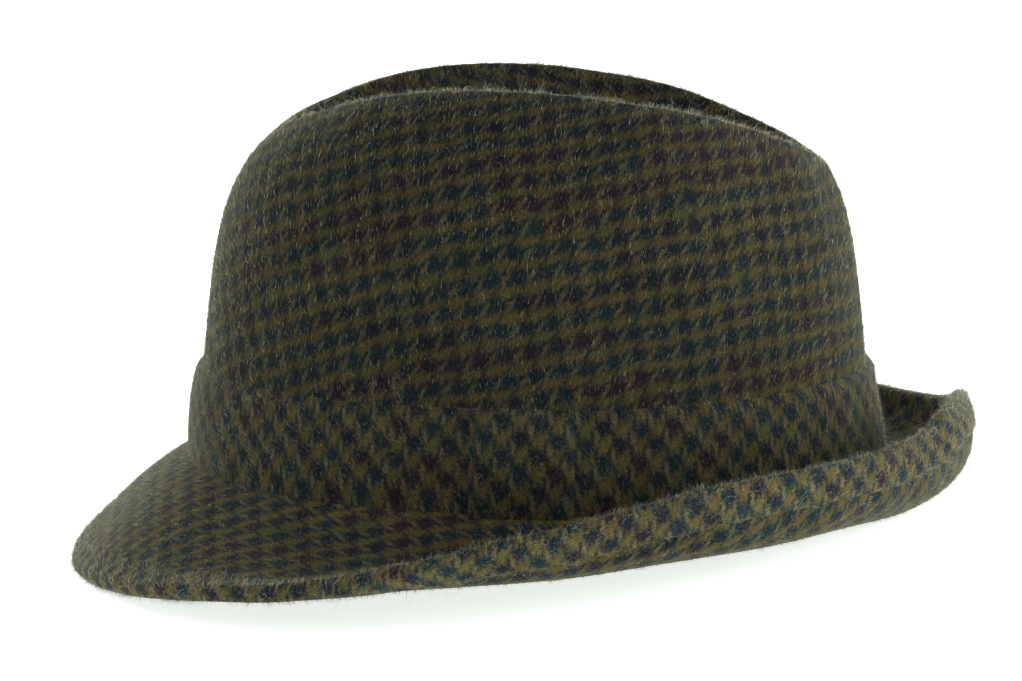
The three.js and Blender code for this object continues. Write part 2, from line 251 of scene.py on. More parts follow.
# A closed piece of cloth. sections: loops of points, one for each column, in the hat's frame; cloth: each
# point's place in the weave, in repeats; hairs: how thick the nap stands there; comb: which way it lies;
# openStrip: a strip of the loop that is left out because the sections meet there; ring: whether it closes
# round the hat.
def clothPiece(name, sections, cloth, hairs, comb, openStrip=None, ring=True):
    columns, loop = sections.shape[:2]
    bm = bmesh.new()
    bmesh.ops.create_grid(bm, x_segments=columns - 1, y_segments=loop, size=1)
    uvLayer = bm.loops.layers.uv.new("cloth")
    hairLayer = bm.verts.layers.float.new("hairs")
    combLayer = bm.verts.layers.float_vector.new("comb")
    placed = settle(sections)
    tip = np.array(Matrix.Rotation(math.radians(rest["tip"]), 3, "X"))
    comb = unit(comb) @ tip.T
    gridPlaces = {}
    for v in bm.verts:
        i = round((v.co.x + 1) / 2 * (columns - 1))
        j = round((v.co.y + 1) / 2 * loop)
        gridPlaces[v] = (i, j)
        v.co = placed[i, j % loop]
        v[hairLayer] = hairs[i, j % loop]
        v[combLayer] = comb[i, j % loop]
    for face in bm.faces:
        face.smooth = True
        for corner in face.loops:
            i, j = gridPlaces[corner.vert]
            corner[uvLayer].uv = cloth[i, j % loop]
    if openStrip is not None:
        strip = [f for f in bm.faces if all(gridPlaces[v][1] in (openStrip, openStrip + 1) for v in f.verts)]
        bmesh.ops.delete(bm, geom=strip, context="FACES")
    bmesh.ops.remove_doubles(bm, verts=bm.verts[:], dist=1e-6)
    if not ring:
        bmesh.ops.holes_fill(bm, edges=[e for e in bm.edges if e.is_boundary], sides=0)
    if bm.calc_volume(signed=True) < 0:
        bmesh.ops.reverse_faces(bm, faces=bm.faces[:])
    mesh = bpy.data.meshes.new(name)
    bm.to_mesh(mesh)
    bm.free()
    piece = bpy.data.objects.new(name, mesh)
    bpy.context.collection.objects.link(piece)
    print(name, len(mesh.polygons), "faces")
    return piece


# Which way is up or outwards along each column, leaning a little towards the back of the hat
def combed(grid, turns, lean):
    along = unit(np.gradient(grid, axis=1))
    around = np.empty_like(grid)
    around[1:-1] = grid[2:] - grid[:-2]
    around[[0, -1]] = grid[1] - grid[-2]
    return along + unit(around) * (lean * np.sign(turns))[:, None, None]


# A place in a cloth cut at an angle to its threads
def cutAt(along, across, degrees):
    c, s = math.cos(math.radians(degrees)), math.sin(math.radians(degrees))
    return np.stack(np.broadcast_arrays(along * c + across * s, across * c - along * s), -1) / weave["repeat"]


# The side of the crown: two halves that meet in a seam in front and behind, and roll over into the seam
# of the ridge
sideCloth = {"columns": 288, "rows": 52, "crowding": 1.6, "innerRows": 14, "developedRadius": 500, "tilt": 11}
ridgeSeam = {"radius": 1.7, "depth": 0.95, "pucker": 0.22, "stitch": 3.1}
endSeam = {"width": 0.8, "depth": 0.55}

turns = turnsRound(sideCloth["columns"], seams=True)
col = turns[:, None]


def puckers(turn, distance):
    along = lengthRound(turn)
    beat = np.sin(2 * math.pi * along / ridgeSeam["stitch"] + 1.3 * np.sin(along / 7.0))
    return ridgeSeam["pucker"] * (0.5 + 0.5 * beat) * np.exp(-distance / 1.6)


footShare = (brim["wall"] / 2 + gap) / ridge(col)[..., 2]
sideRows = 1 - (1 - np.linspace(0, 1, sideCloth["rows"] + 1)) ** sideCloth["crowding"]
sideShares = blendTo(footShare, 1, sideRows)
sideGrid = sidePoint(col, sideShares)
tipCloth = {"rows": 30, "crowding": 1.5, "innerRows": 10, "turn": 4}
tipShares = np.linspace(0, 1, tipCloth["rows"] + 1)[None] ** tipCloth["crowding"]
tipGrid = tipPoint(col, tipShares)
sideOut, tipOut = normals(sideGrid), normals(tipGrid)

# the mitre that both pieces share at the ridge
alike = np.sum(sideOut[:, -1] * tipOut[:, 0], -1)
mitre = -(sideOut[:, -1] + tipOut[:, 0]) * (crown["wall"] / (1 + alike))[:, None]


def mitreBack(edge, before, out, other):
    away = unit(before - edge)
    return away * (gap / 2 / np.abs(np.sum(away * unit(out - other), -1)))[:, None]


def makeCrownSide():
    reach = lengthAlong(sideGrid)
    distance = reach[:, -1:] - reach
    sink = rounding(distance, ridgeSeam["radius"], ridgeSeam["depth"]) + puckers(col, distance)
    toFront = np.abs(lengthRound(col) - lengthRound(0.0))
    toBack = np.abs(lengthRound(180.0) - lengthRound(col))
    toSeam = np.minimum(toFront, toBack)
    sink = sink + endSeam["depth"] * np.exp(-(toSeam / endSeam["width"]) ** 2) * np.clip(distance / 2, 0, 1)
    outer = sideGrid - sideOut * sink[..., None]
    back = mitreBack(sideGrid[:, -1], sideGrid[:, -2], sideOut[:, -1], tipOut[:, 0])
    outer[:, -1] = sideGrid[:, -1] + back + mitre * (sink[:, -1:] / crown["wall"])
    keep = np.unique(np.linspace(0, sideCloth["rows"] - 1, sideCloth["innerRows"]).astype(int))
    inner = (sideGrid - sideOut * crown["wall"])[:, keep]
    inner[:, 0] = sideGrid[:, 0] - outline(turns)[1] * crown["wall"]
    innerEdge = (sideGrid[:, -1] + back + mitre)[:, None]
    sections = np.concatenate([outer, innerEdge, inner[:, ::-1]], axis=1)

    # the cloth is cut from a flat sheet that bends round a cone
    angle = lengthRound(col) / sideCloth["developedRadius"]
    radius = sideCloth["developedRadius"] - reach
    rise = sideCloth["developedRadius"] - radius * np.cos(angle)
    flat = cutAt(radius * np.sin(angle), rise, sideCloth["tilt"])
    cloth = np.concatenate([flat, flat[:, -1:], flat[:, keep][:, ::-1]], axis=1)
    hairs = np.zeros(sections.shape[:2])
    hairs[:, : len(sideShares[0])] = 1 + 3.0 * np.exp(-distance / 3.0)
    comb = combed(sideGrid, turns, 0.14)
    comb = np.concatenate([comb, comb[:, -1:], comb[:, keep][:, ::-1]], axis=1)
    return clothPiece("crownSideCloth", sections, cloth, hairs, comb)


def makeCrownTip():
    reach = lengthAlong(tipGrid)
    sink = rounding(reach, ridgeSeam["radius"], ridgeSeam["depth"]) + puckers(col, reach)
    top = tipGrid - tipOut * sink[..., None]
    back = mitreBack(tipGrid[:, 0], tipGrid[:, 1], tipOut[:, 0], sideOut[:, -1])
    top[:, 0] = tipGrid[:, 0] + back + mitre * (sink[:, :1] / crown["wall"])
    top[:, -1, 0] = 0
    keep = np.unique(np.linspace(1, tipCloth["rows"], tipCloth["innerRows"]).astype(int))
    under = (tipGrid - tipOut * crown["wall"])[:, keep]
    under[:, -1] = tipGrid[:, -1] - np.array([0, 0, crown["wall"]])
    underEdge = (tipGrid[:, 0] + back + mitre)[:, None]
    sections = np.concatenate([top, under[:, ::-1], underEdge], axis=1)

    fromSpine = reach[:, -1:] - reach
    way = unit(tipGrid[:, :1, :2] - tipGrid[:, -1:, :2])
    spread = tipGrid[:, -1:, :2] + way * fromSpine[..., None]
    flat = cutAt(spread[..., 1], spread[..., 0], tipCloth["turn"])
    cloth = np.concatenate([flat, flat[:, keep][:, ::-1], flat[:, :1]], axis=1)
    hairs = np.zeros(sections.shape[:2])
    hairs[:, : tipCloth["rows"] + 1] = 1 + 3.0 * np.exp(-reach / 3.0)
    comb = -combed(tipGrid, -turns, 0.35)
    comb = np.concatenate([comb, comb[:, keep][:, ::-1], comb[:, :1]], axis=1)
    return clothPiece("crownTipCloth", sections, cloth, hairs, comb, openStrip=tipCloth["rows"])


# The brim, from under the crown to inside its binding
brimCloth = {"columns": 288, "rows": 40, "sink": 0.25}
bindingCloth = {
    "width": 8.5, "thick": 1.0, "columns": 384, "welt": 0.72, "pucker": 0.3, "stitch": 3.4, "wander": 0.35,
    "joinTurn": 158, "joinReach": 5.5, "joinHeight": 1.1,  # where the strip's ends overlap
}
brimTurns = turnsRound(brimCloth["columns"])


def makeBrim():
    turn = brimTurns[:, None]
    shares = np.linspace(0, 1, brimCloth["rows"] + 1)[None] * np.ones_like(turn)
    half = brim["wall"] / 2
    under, over = brimPoint(turn, shares, 0.0, -half), brimPoint(turn, shares, 0.0, half)
    # the edge of the binding is stitched through the brim, which sinks a little there, on the underside
    width = smooth(brimLine, "round", "width", turn) * brim["width"]
    fromSeam = width * (1 - shares) - bindingCloth["width"]
    sink = brimCloth["sink"] * np.exp(-((fromSeam - 0.5) / 1.6) ** 2)
    under = under + unit(brimPoint(turn, shares, 0.0, 0.0) - under) * sink[..., None]
    at, out = outline(brimTurns)
    landing = at - out * crown["wall"]
    low = landing + np.array([0, 0, -half])
    high = landing + np.array([0, 0, half])
    sections = np.concatenate([low[:, None], under, over[:, ::-1], high[:, None]], axis=1)

    flatAt = at[:, None, :2] + out[:, None, :2] * (width * shares)[..., None]
    flat = cutAt(flatAt[..., 1], flatAt[..., 0], 0)
    cloth = np.concatenate([flat[:, :1], flat + 0.37, flat[:, ::-1], flat[:, :1]], axis=1)
    hairs = np.concatenate([flat[:, :1, 0] * 0, shares * 0 + 1, shares * 0 + 1, flat[:, :1, 0] * 0], axis=1)
    comb = combed(over, brimTurns, 0.5)
    comb = np.concatenate([comb[:, :1], comb, comb[:, ::-1], comb[:, :1]], axis=1)
    return clothPiece("brimCloth", sections, cloth, hairs, comb)


# The binding: a strip cut on the bias, folded over the rim and stitched through, so that it swells between
def makeBinding():
    turns = turnsRound(bindingCloth["columns"])
    turn = turns[:, None]
    width, thick = bindingCloth["width"], bindingCloth["thick"]
    inset = np.array([0, 0.04, 0.15, 0.4, 0.8, 1.3, 2.0, 3.0, 4.2, 5.6, 7.0, width])[None]
    along = lengthRound(turn) * np.sign(turn)
    # the seam is not quite straight
    wander = bindingCloth["wander"] * np.sin(along / 5.3 + 2.1 * np.sin(along / 17.0))
    shares = fromRim(turn, width - inset + wander * (1 - inset / width))
    clear = brim["wall"] / 2 + gap
    beat = 0.5 + 0.5 * np.sin(2 * math.pi * along / bindingCloth["stitch"] + 1.7 * np.sin(along / 11.0))
    stitched = bindingCloth["pucker"] * beat * np.exp(-((inset - 1.1) / 0.8) ** 2)
    # the strip's ends overlap on the wearer's left behind, in a small lump
    fromJoin = (turn - bindingCloth["joinTurn"]) / bindingCloth["joinReach"]
    join = bindingCloth["joinHeight"] * np.exp(-fromJoin ** 2)
    full = clear + thick + join + 0.12 * np.sin(along / 9.0)
    # pressed flat into the nap on top, and a small welt underneath
    over = brimPoint(turn, shares, 0.0, blendTo(brim["wall"] / 2 + 0.1, full, (inset / width) ** 1.3))
    step = bindingCloth["welt"] * np.exp(-inset / 0.8)
    under = brimPoint(turn, shares, 0.0, -(blendTo(full - 0.45, full, inset / width) - step - stitched * 0.6))
    bow = np.radians(np.array([60, 30, 0, -30, -60]))[None]
    radius = clear + thick + join
    one = np.ones_like(turn)
    fold = brimPoint(turn, one, (gap + thick * 1.3) * np.cos(bow), -radius * np.sin(bow))
    inner = np.array([width, width / 2, 0])[None]
    innerShares = fromRim(turn, width - inner + wander * (1 - inner / width))
    past = np.where(inner == width, gap, 0.0)
    close = brim["wall"] / 2 + np.array([gap, 0.1, 0.04])[None]
    innerOver = brimPoint(turn, innerShares, past, close)
    innerUnder = brimPoint(turn, innerShares, past, -close)
    sections = np.concatenate([under, fold, over[:, ::-1], innerOver[:, ::-1], innerUnder], axis=1)

    reach = lengthAlong(np.concatenate([under, fold, over[:, ::-1]], axis=1))
    # the strip's length follows the rim
    rim = brimPoint(turns, np.ones_like(turns), 0.0, 0.0)
    rimLength = np.append(0, np.cumsum(np.linalg.norm(np.diff(rim, axis=0), axis=-1)))[:, None]
    flat = cutAt(rimLength + 0 * reach, reach, 45)
    cloth = np.concatenate([flat, flat[:, [-1, -1, -1, 0, 0, 0]]], axis=1)
    count = reach.shape[1]
    hairs = np.zeros(sections.shape[:2])
    hairs[:, :count] = 1.1
    hairs[:, :5] = 2.6  # frayed along the stitches underneath
    hairs[:, len(inset[0]) - 2: count - len(inset[0]) + 2] = 2.6
    comb = combed(np.concatenate([under, fold, over[:, ::-1]], axis=1), turns, 0.6)
    comb = np.concatenate([comb, comb[:, [-1, -1, -1, 0, 0, 0]]], axis=1)
    return clothPiece("bindingCloth", sections, cloth, hairs, comb)


# The band: a folded strip cut on the bias, thinnest at its top, and standing off a little in front and behind
bandCloth = {
    "height": 26.5, "thick": 1.3, "columns": 288, "taper": 2.6, "thin": 0.03, "ease": 0.22, "slack": 2.6,
}
bandFoot = brim["wall"] / 2 + 2 * gap
bandTop = bandFoot + bandCloth["height"]


# How far the outside of the band stands off the crown
def bandOut(turn, rise):
    height = bandCloth["height"]
    near = 1 - np.clip((height - rise) / bandCloth["taper"], 0, 1)
    thick = bandCloth["thick"] * (1 - (1 - bandCloth["thin"]) * near ** 2)
    along = lengthRound(turn) * np.sign(turn)
    fromEdge = np.minimum(rise, height - rise)
    ease = bandCloth["ease"] * np.sin(along / 13.0 + rise / 6.0) * np.sin(along / 31.0)
    ease = ease * np.clip(fromEdge / 5, 0, 1)
    behind = bandCloth["slack"] * np.exp(-((180 - np.abs(turn)) / 42) ** 2) * (1 - 0.65 * rise / height)
    infront = 0.5 * bandCloth["slack"] * np.exp(-(turn / 42) ** 2) * np.sin(math.pi * (rise / height) ** 1.2)
    return gap * (1 - 0.8 * near) + thick + ease + (behind + infront) * (1 - near ** 2)


def makeBand():
    turns = turnsRound(bandCloth["columns"])
    turn = turns[:, None]
    height = bandCloth["height"]
    rise = np.concatenate([[0, 0.05, 0.3, 1.0], np.linspace(2, height - 3, 12),
                           height - np.array([2.2, 1.5, 0.9, 0.4, 0.1, 0.03, 0])])
    rise = rise[None] + 0 * turn
    out = bandOut(turn, rise)
    # the foot follows the brim
    drop = bandFoot - brimTop(turn, out[:, :1]) - 0.04
    outer = besideCrown(turn, bandFoot + rise - drop * (1 - np.clip(rise / 4, 0, 1)) ** 1.5, out)
    innerRise = np.array([height, height / 2, 0])[None] + 0 * turn
    inner = besideCrown(turn, bandFoot + innerRise, np.array([0.04, gap, 0.1])[None] + 0 * innerRise)
    sections = np.concatenate([outer, inner], axis=1)
    along = lengthRound(turn) * np.sign(turn)
    flat = cutAt(along + 0 * rise, rise + 0 * along, 45)
    cloth = np.concatenate([flat, flat[:, [-1, -1, 0]]], axis=1)
    hairs = np.zeros(sections.shape[:2])
    hairs[:, : rise.shape[1]] = 1 + 0.8 * (height - rise < 1.6)
    comb = combed(outer, turns, -0.5)
    comb = np.concatenate([comb, comb[:, [-1, -1, 0]]], axis=1)
    return clothPiece("bandCloth", sections, cloth, hairs, comb)


# The loop over the band on the wearer's left, pressed flat; its top end turns in over the band
loopCloth = {"width": 28.5, "thick": 1.0, "forward": 5.5, "columns": 34, "edge": 2.2, "thin": 0.3}


def makeLoop():
    width, thick = loopCloth["width"], loopCloth["thick"]
    across = np.concatenate([[0, 0.04, 0.3, 0.7], np.linspace(1.4, width - 1.4, loopCloth["columns"]),
                             width - np.array([0.7, 0.3, 0.04, 0])])
    turns = np.degrees(np.arccos((loopCloth["forward"] - (across - width / 2)) / (crown["length"] / 2)))
    turn = turns[:, None]
    fromEdge = np.minimum(across, width - across)[:, None]
    height = bandCloth["height"]
    flatter = 1 - (1 - loopCloth["thin"]) * (1 - np.clip(fromEdge / loopCloth["edge"], 0, 1)) ** 2
    rise = np.concatenate([[0, 0.05, 1.2], np.linspace(2.4, height - 3, 10),
                           height - np.array([2.0, 1.2, 0.5, 0])])
    rise = rise[None] + 0 * turn
    upper = 1 - 0.45 * np.clip(1 - (height - rise) / 3, 0, 1) ** 2
    out = bandOut(turn, rise) + thick * flatter * upper
    drop = bandFoot - brimTop(turn, out[:, :1]) - 0.04
    face = besideCrown(turn, bandFoot + rise - drop * (1 - np.clip(rise / 4, 0, 1)) ** 1.5, out)
    end = besideCrown(turn, bandTop + np.array([0.35, 0.45, 0.4])[None] * flatter,
                      out[:, -1:] * np.array([0.85, 0.5, 0.15])[None])
    insideRise = np.array([height, height - 2.6, 2.6, 0])[None] + 0 * turn
    inside = besideCrown(turn, bandFoot + insideRise, bandOut(turn, insideRise) + 0.05)
    sections = np.concatenate([face, end, inside], axis=1)
    reach = lengthAlong(np.concatenate([face, end], axis=1))
    flat = cutAt(across[:, None] + 0 * reach + 3.1, reach, 45)
    cloth = np.concatenate([flat, flat[:, [-1, -1, 0, 0]]], axis=1)
    hairs = np.zeros(sections.shape[:2])
    hairs[:, : reach.shape[1]] = 1.0
    comb = unit(np.gradient(sections, axis=1)) + np.array([0, 0.3, 0])
    return clothPiece("loopCloth", sections, cloth, hairs, comb, ring=False)


# Nodes of a shader tree written as calls
class Wiring:
    def __init__(self, tree):
        self.nodes, self.links = tree.nodes, tree.links

    def put(self, socket, value):
        if isinstance(value, bpy.types.NodeSocket):
            self.links.new(value, socket)
        else:
            socket.default_value = value

    def sum(self, kind, *values):
        node = self.nodes.new("ShaderNodeMath")
        node.operation = kind
        for socket, value in zip(node.inputs, values):
            self.put(socket, value)
        return node.outputs[0]

    def vector(self, x, y, z):
        node = self.nodes.new("ShaderNodeCombineXYZ")
        for socket, value in zip(node.inputs, (x, y, z)):
            self.put(socket, value)
        return node.outputs[0]

    def noise(self, at, scale, detail=2.0, roughness=0.5):
        node = self.nodes.new("ShaderNodeTexNoise")
        self.put(node.inputs["Vector"], at)
        node.inputs["Scale"].default_value = scale
        node.inputs["Detail"].default_value = detail
        node.inputs["Roughness"].default_value = roughness
        return node.outputs["Fac"]

    def dice(self, x, y):
        node = self.nodes.new("ShaderNodeTexWhiteNoise")
        node.noise_dimensions = "2D"
        self.put(node.inputs["Vector"], self.vector(x, y, 0.0))
        return node.outputs["Value"]

    def mix(self, share, a, b, kind="MIX"):
        node = self.nodes.new("ShaderNodeMix")
        node.data_type = "RGBA"
        node.blend_type = kind
        colours = [s for s in node.inputs if s.type == "RGBA"]
        self.put(node.inputs[0], share)
        self.put(colours[0], a)
        self.put(colours[1], b)
        return [s for s in node.outputs if s.type == "RGBA"][0]

    def steps(self, value, colours, blend="CONSTANT"):
        node = self.nodes.new("ShaderNodeValToRGB")
        node.color_ramp.interpolation = blend
        stops = node.color_ramp.elements
        for k, (at, colour) in enumerate(colours):
            stop = stops[k] if k < 2 else stops.new(at)
            stop.position = at
            stop.color = (*colour, 1)
        self.put(node.inputs[0], value)
        return node.outputs["Color"]

    def between(self, value, low, high, toLow=0.0, toHigh=1.0):
        node = self.nodes.new("ShaderNodeMapRange")
        for socket, given in zip(node.inputs, (value, low, high, toLow, toHigh)):
            self.put(socket, given)
        return node.outputs[0]


# The wool's colours, before dust and light
wool = {
    "olive": (0.079, 0.063, 0.0195), "brown": (0.075, 0.052, 0.0185), "rust": (0.076, 0.033, 0.018),
    "moss": (0.055, 0.064, 0.018), "navy": (0.0074, 0.0092, 0.0144), "teal": (0.0060, 0.0158, 0.0205),
    "maroon": (0.0205, 0.0084, 0.0128), "plum": (0.014, 0.0090, 0.0155), "pale": (0.24, 0.23, 0.150),
    # glint: pale wool made paler still, a painted glow of backlit fibre ends
    "glint": (0.44, 0.45, 0.23),  # the palest fibre ends
}


# How far, in repeats, the nap pulls each colour up, the threads wander and their sides fray; how far, in
# threads, the colours run into each other; and how pale the ticks are where light warp crosses dark rows
yarn = {"pull": 0.52, "wander": 0.75, "fray": 0.26, "blur": 0.9, "tick": 0.13}


# The check: light and dark threads by fours in both directions, over two and under two. showing: half of how
# many of each four threads the warp shows, fewer than two because the nap is raised from the weft
def checkWeave(name, showing):
    tree = bpy.data.node_groups.new(name, "ShaderNodeTree")
    tree.interface.new_socket("Cloth", in_out="INPUT", socket_type="NodeSocketVector")
    tree.interface.new_socket("Colour", in_out="OUTPUT", socket_type="NodeSocketColor")
    tree.interface.new_socket("Height", in_out="OUTPUT", socket_type="NodeSocketFloat")
    w = Wiring(tree)
    given = tree.nodes.new("NodeGroupInput")
    result = tree.nodes.new("NodeGroupOutput")
    split = tree.nodes.new("ShaderNodeSeparateXYZ")
    w.put(split.inputs[0], given.outputs["Cloth"])
    u, v = split.outputs[0], split.outputs[1]

    # milled wool: the threads wander, and the nap pulls each colour up over the next
    drift = w.noise(w.vector(u, v, 3.0), 0.55, 1.0)
    pulled = w.noise(w.vector(w.sum("MULTIPLY", u, 11.0), w.sum("MULTIPLY", v, 3.2), 7.0), 1.0, 2.0, 0.6)
    frayed = w.noise(w.vector(w.sum("MULTIPLY", u, 4.0), w.sum("MULTIPLY", v, 7.0), 1.0), 1.0, 2.0, 0.6)
    vs = w.sum("ADD", v, w.sum("MULTIPLY", w.sum("SUBTRACT", pulled, 0.5), yarn["pull"]))
    vs = w.sum("ADD", vs, w.sum("MULTIPLY", w.sum("SUBTRACT", drift, 0.5), yarn["wander"]))
    us = w.sum("ADD", u, w.sum("MULTIPLY", w.sum("SUBTRACT", frayed, 0.5), yarn["fray"]))
    count = float(weave["threads"])
    a, b = w.sum("MULTIPLY", us, count), w.sum("MULTIPLY", vs, count)
    i, j = w.sum("FLOOR", a), w.sum("FLOOR", b)
    blur = yarn["blur"]
    half = count / 2

    def near(value, middle, reach, apart):
        away = w.sum("PINGPONG", w.sum("SUBTRACT", value, middle), apart / 2)
        return w.between(away, reach - blur, reach + blur, 1.0, 0.0)

    warpDark = near(a, half * 1.5, half / 2 + 0.3, count)
    weftDark = near(b, half * 1.5, half / 2 + 0.6, count)
    warpUp = near(w.sum("SUBTRACT", a, b), 0.5, showing, half)

    row = w.sum("FLOOR", w.sum("ADD", vs, 0.02))
    # a thread's colour now and then gives way to the next one's for a few stars
    run = w.dice(w.sum("FLOOR", w.sum("MULTIPLY", us, 0.5)), row)
    row = w.sum("FLOORED_MODULO", w.sum("ADD", row, w.sum("FLOOR", w.sum("MULTIPLY", run, 1.6))), 8.0)
    order = ("navy", "teal", "navy", "teal", "maroon", "teal", "plum", "teal")
    tones = [(k / 8, wool[n]) for k, n in enumerate(order)]
    weftTone = w.steps(w.sum("DIVIDE", w.sum("ADD", row, 0.5), 8.0), tones)
    bar = w.sum("FLOORED_MODULO", w.sum("FLOOR", us), 2.0)
    warpTone = w.mix(bar, (*wool["navy"], 1), (*wool["teal"], 1))
    weftPick = w.dice(j, w.sum("FLOOR", w.sum("MULTIPLY", u, 0.9)))
    warpPick = w.dice(w.sum("ADD", i, 31.0), w.sum("FLOOR", w.sum("MULTIPLY", v, 0.9)))
    pick = w.sum("ADD", w.sum("MULTIPLY", warpPick, warpUp),
                 w.sum("MULTIPLY", weftPick, w.sum("SUBTRACT", 1.0, warpUp)))
    light = w.steps(pick, [(0.0, wool["olive"]), (0.40, wool["brown"]), (0.70, wool["moss"]),
                           (0.90, wool["rust"])])
    # whole stars lean to yellow, green or brown
    lean = w.noise(w.vector(w.sum("MULTIPLY", u, 1.1), w.sum("MULTIPLY", v, 1.1), 13.0), 1.0, 2.0, 0.5)
    light = w.mix(w.between(lean, 0.52, 0.66, 0.0, 0.75), light, (*wool["brown"], 1))
    light = w.mix(w.between(lean, 0.48, 0.34, 0.0, 0.75), light, (*wool["moss"], 1))
    weftColour = w.mix(weftDark, light, weftTone)
    warpColour = w.mix(warpDark, light, warpTone)
    colour = w.mix(warpUp, weftColour, warpColour)
    # the light warp stands out in pale ticks where it crosses the dark rows
    tick = w.sum("MULTIPLY", w.sum("MULTIPLY", warpUp, weftDark), w.sum("SUBTRACT", 1.0, warpDark))
    colour = w.mix(w.sum("MULTIPLY", tick, yarn["tick"]), colour, (*wool["pale"], 1))

    # heather: finer fibres of other colours in each thread
    fleck = w.noise(w.vector(w.sum("MULTIPLY", u, 20.0), w.sum("MULTIPLY", v, 8.0), 2.0), 1.0, 3.0, 0.7)
    streak = w.noise(w.vector(w.sum("MULTIPLY", u, 5.0), w.sum("MULTIPLY", v, 24.0), 6.0), 1.0, 2.0, 0.6)
    fleck = w.sum("ADD", w.sum("MULTIPLY", fleck, 0.6), w.sum("MULTIPLY", streak, 0.4))
    shade = w.between(fleck, 0.34, 0.66, 0.55, 1.55)
    colour = w.mix(1.0, colour, w.vector(shade, shade, shade), "MULTIPLY")
    hue = w.noise(w.vector(w.sum("MULTIPLY", u, 3.1), w.sum("MULTIPLY", v, 2.3), 9.0), 1.0, 3.0, 0.65)
    colour = w.mix(w.between(hue, 0.58, 0.72, 0.0, 0.55), colour, (*wool["rust"], 1))
    hue = w.noise(w.vector(w.sum("MULTIPLY", u, 2.7), w.sum("MULTIPLY", v, 2.9), 5.0), 1.0, 3.0, 0.65)
    colour = w.mix(w.between(hue, 0.62, 0.74, 0.0, 0.5), colour, (*wool["moss"], 1))
    # pale fibre ends that catch the light
    strand = w.noise(w.vector(w.sum("MULTIPLY", u, 26.0), w.sum("MULTIPLY", v, 5.5), 4.0), 1.0, 1.0, 0.5)
    colour = w.mix(w.between(strand, 0.58, 0.78, 0.0, 0.34), colour, (*wool["pale"], 1))
    w.put(result.inputs["Colour"], colour)

    # each thread is round, and the nap lies over them
    fa, fb = w.sum("FRACT", a), w.sum("FRACT", b)
    ra = w.sum("SINE", w.sum("MULTIPLY", fa, math.pi))
    rb = w.sum("SINE", w.sum("MULTIPLY", fb, math.pi))
    ropes = w.sum("ADD", w.sum("MULTIPLY", ra, warpUp), w.sum("MULTIPLY", rb, w.sum("SUBTRACT", 1.0, warpUp)))
    height = w.sum("ADD", w.sum("MULTIPLY", ropes, 0.45), w.sum("MULTIPLY", pulled, 1.2))
    height = w.sum("ADD", height, w.sum("MULTIPLY", fleck, 0.8))
    w.put(result.inputs["Height"], height)
    return tree


def tweed(name, group, gain, sheen, tint, offset):
    material = bpy.data.materials.new(name)
    material.use_nodes = True
    w = Wiring(material.node_tree)
    shader = material.node_tree.nodes["Principled BSDF"]
    place = material.node_tree.nodes.new("ShaderNodeUVMap")
    place.uv_map = "cloth"
    shift = material.node_tree.nodes.new("ShaderNodeVectorMath")
    w.put(shift.inputs[0], place.outputs[0])
    shift.inputs[1].default_value = offset
    check = material.node_tree.nodes.new("ShaderNodeGroup")
    check.node_tree = group
    w.put(check.inputs[0], shift.outputs[0])
    # wool fades and gathers dust in slow patches
    where = material.node_tree.nodes.new("ShaderNodeTexCoord")
    patch = w.between(w.noise(where.outputs["Object"], 38.0, 3.0, 0.6), 0.3, 0.7, 0.82, 1.2)
    # the piece's gain paints light and shade: the same cloth is lighter on the brim and binding and darker on
    # the crown
    dustAndPaintedLight = w.sum("MULTIPLY", patch, gain)
    colour = w.mix(1.0, check.outputs["Colour"], w.vector(dustAndPaintedLight, dustAndPaintedLight, dustAndPaintedLight), "MULTIPLY")
    w.put(shader.inputs["Base Color"], colour)
    bump = material.node_tree.nodes.new("ShaderNodeBump")
    bump.inputs["Strength"].default_value = 0.55
    bump.inputs["Distance"].default_value = 0.35 * mm
    w.put(bump.inputs["Height"], check.outputs["Height"])
    w.put(shader.inputs["Normal"], bump.outputs[0])
    shader.inputs["Roughness"].default_value = 0.95
    shader.inputs["Specular IOR Level"].default_value = 0.12
    shader.inputs["Sheen Weight"].default_value = sheen
    shader.inputs["Sheen Roughness"].default_value = 0.24
    shader.inputs["Sheen Tint"].default_value = tint
    return material


# Loose fibres take the colour of the cloth that they grow from, made lighter by a gain per piece that paints
# in light, and some are pale, the palest paler still as a painted glow of backlit fibres
def fibreMaterial(name, group, gain, offset):
    material = bpy.data.materials.new(name)
    material.use_nodes = True
    w = Wiring(material.node_tree)
    shader = material.node_tree.nodes["Principled BSDF"]
    place = material.node_tree.nodes.new("ShaderNodeAttribute")
    place.attribute_name = "cloth"
    shift = material.node_tree.nodes.new("ShaderNodeVectorMath")
    w.put(shift.inputs[0], place.outputs["Vector"])
    shift.inputs[1].default_value = offset
    check = material.node_tree.nodes.new("ShaderNodeGroup")
    check.node_tree = group
    w.put(check.inputs[0], shift.outputs[0])
    own = material.node_tree.nodes.new("ShaderNodeAttribute")
    own.attribute_name = "shade"
    # the gain lifts the fibres with painted light, more on the brim and binding
    lifted = w.mix(1.0, check.outputs["Colour"], (gain, gain, gain, 1), "MULTIPLY")
    # the palest fibres take the glint colour, a painted glow
    pale = w.between(own.outputs["Fac"], 0.72, 1.0, 0.0, 0.75)
    w.put(shader.inputs["Base Color"], w.mix(pale, lifted, (*wool["glint"], 1)))
    shader.inputs["Roughness"].default_value = 0.8
    shader.inputs["Specular IOR Level"].default_value = 0.2
    shader.inputs["Subsurface Weight"].default_value = 0.6
    shader.inputs["Subsurface Radius"].default_value = (1.0, 0.95, 0.7)
    shader.inputs["Subsurface Scale"].default_value = 0.4 * mm
    shader.inputs["Sheen Weight"].default_value = 0.2
    shader.inputs["Sheen Roughness"].default_value = 0.5
    shader.inputs["Sheen Tint"].default_value = (0.86, 0.90, 0.74, 1)
    return material


# How the nap gathers: the size of its tufts and locks, as noise scales, and its least and most crowding
tufting = {"tufts": 210.0, "locks": 330.0, "from": 0.36, "to": 0.66, "least": 0.15, "most": 2.1}


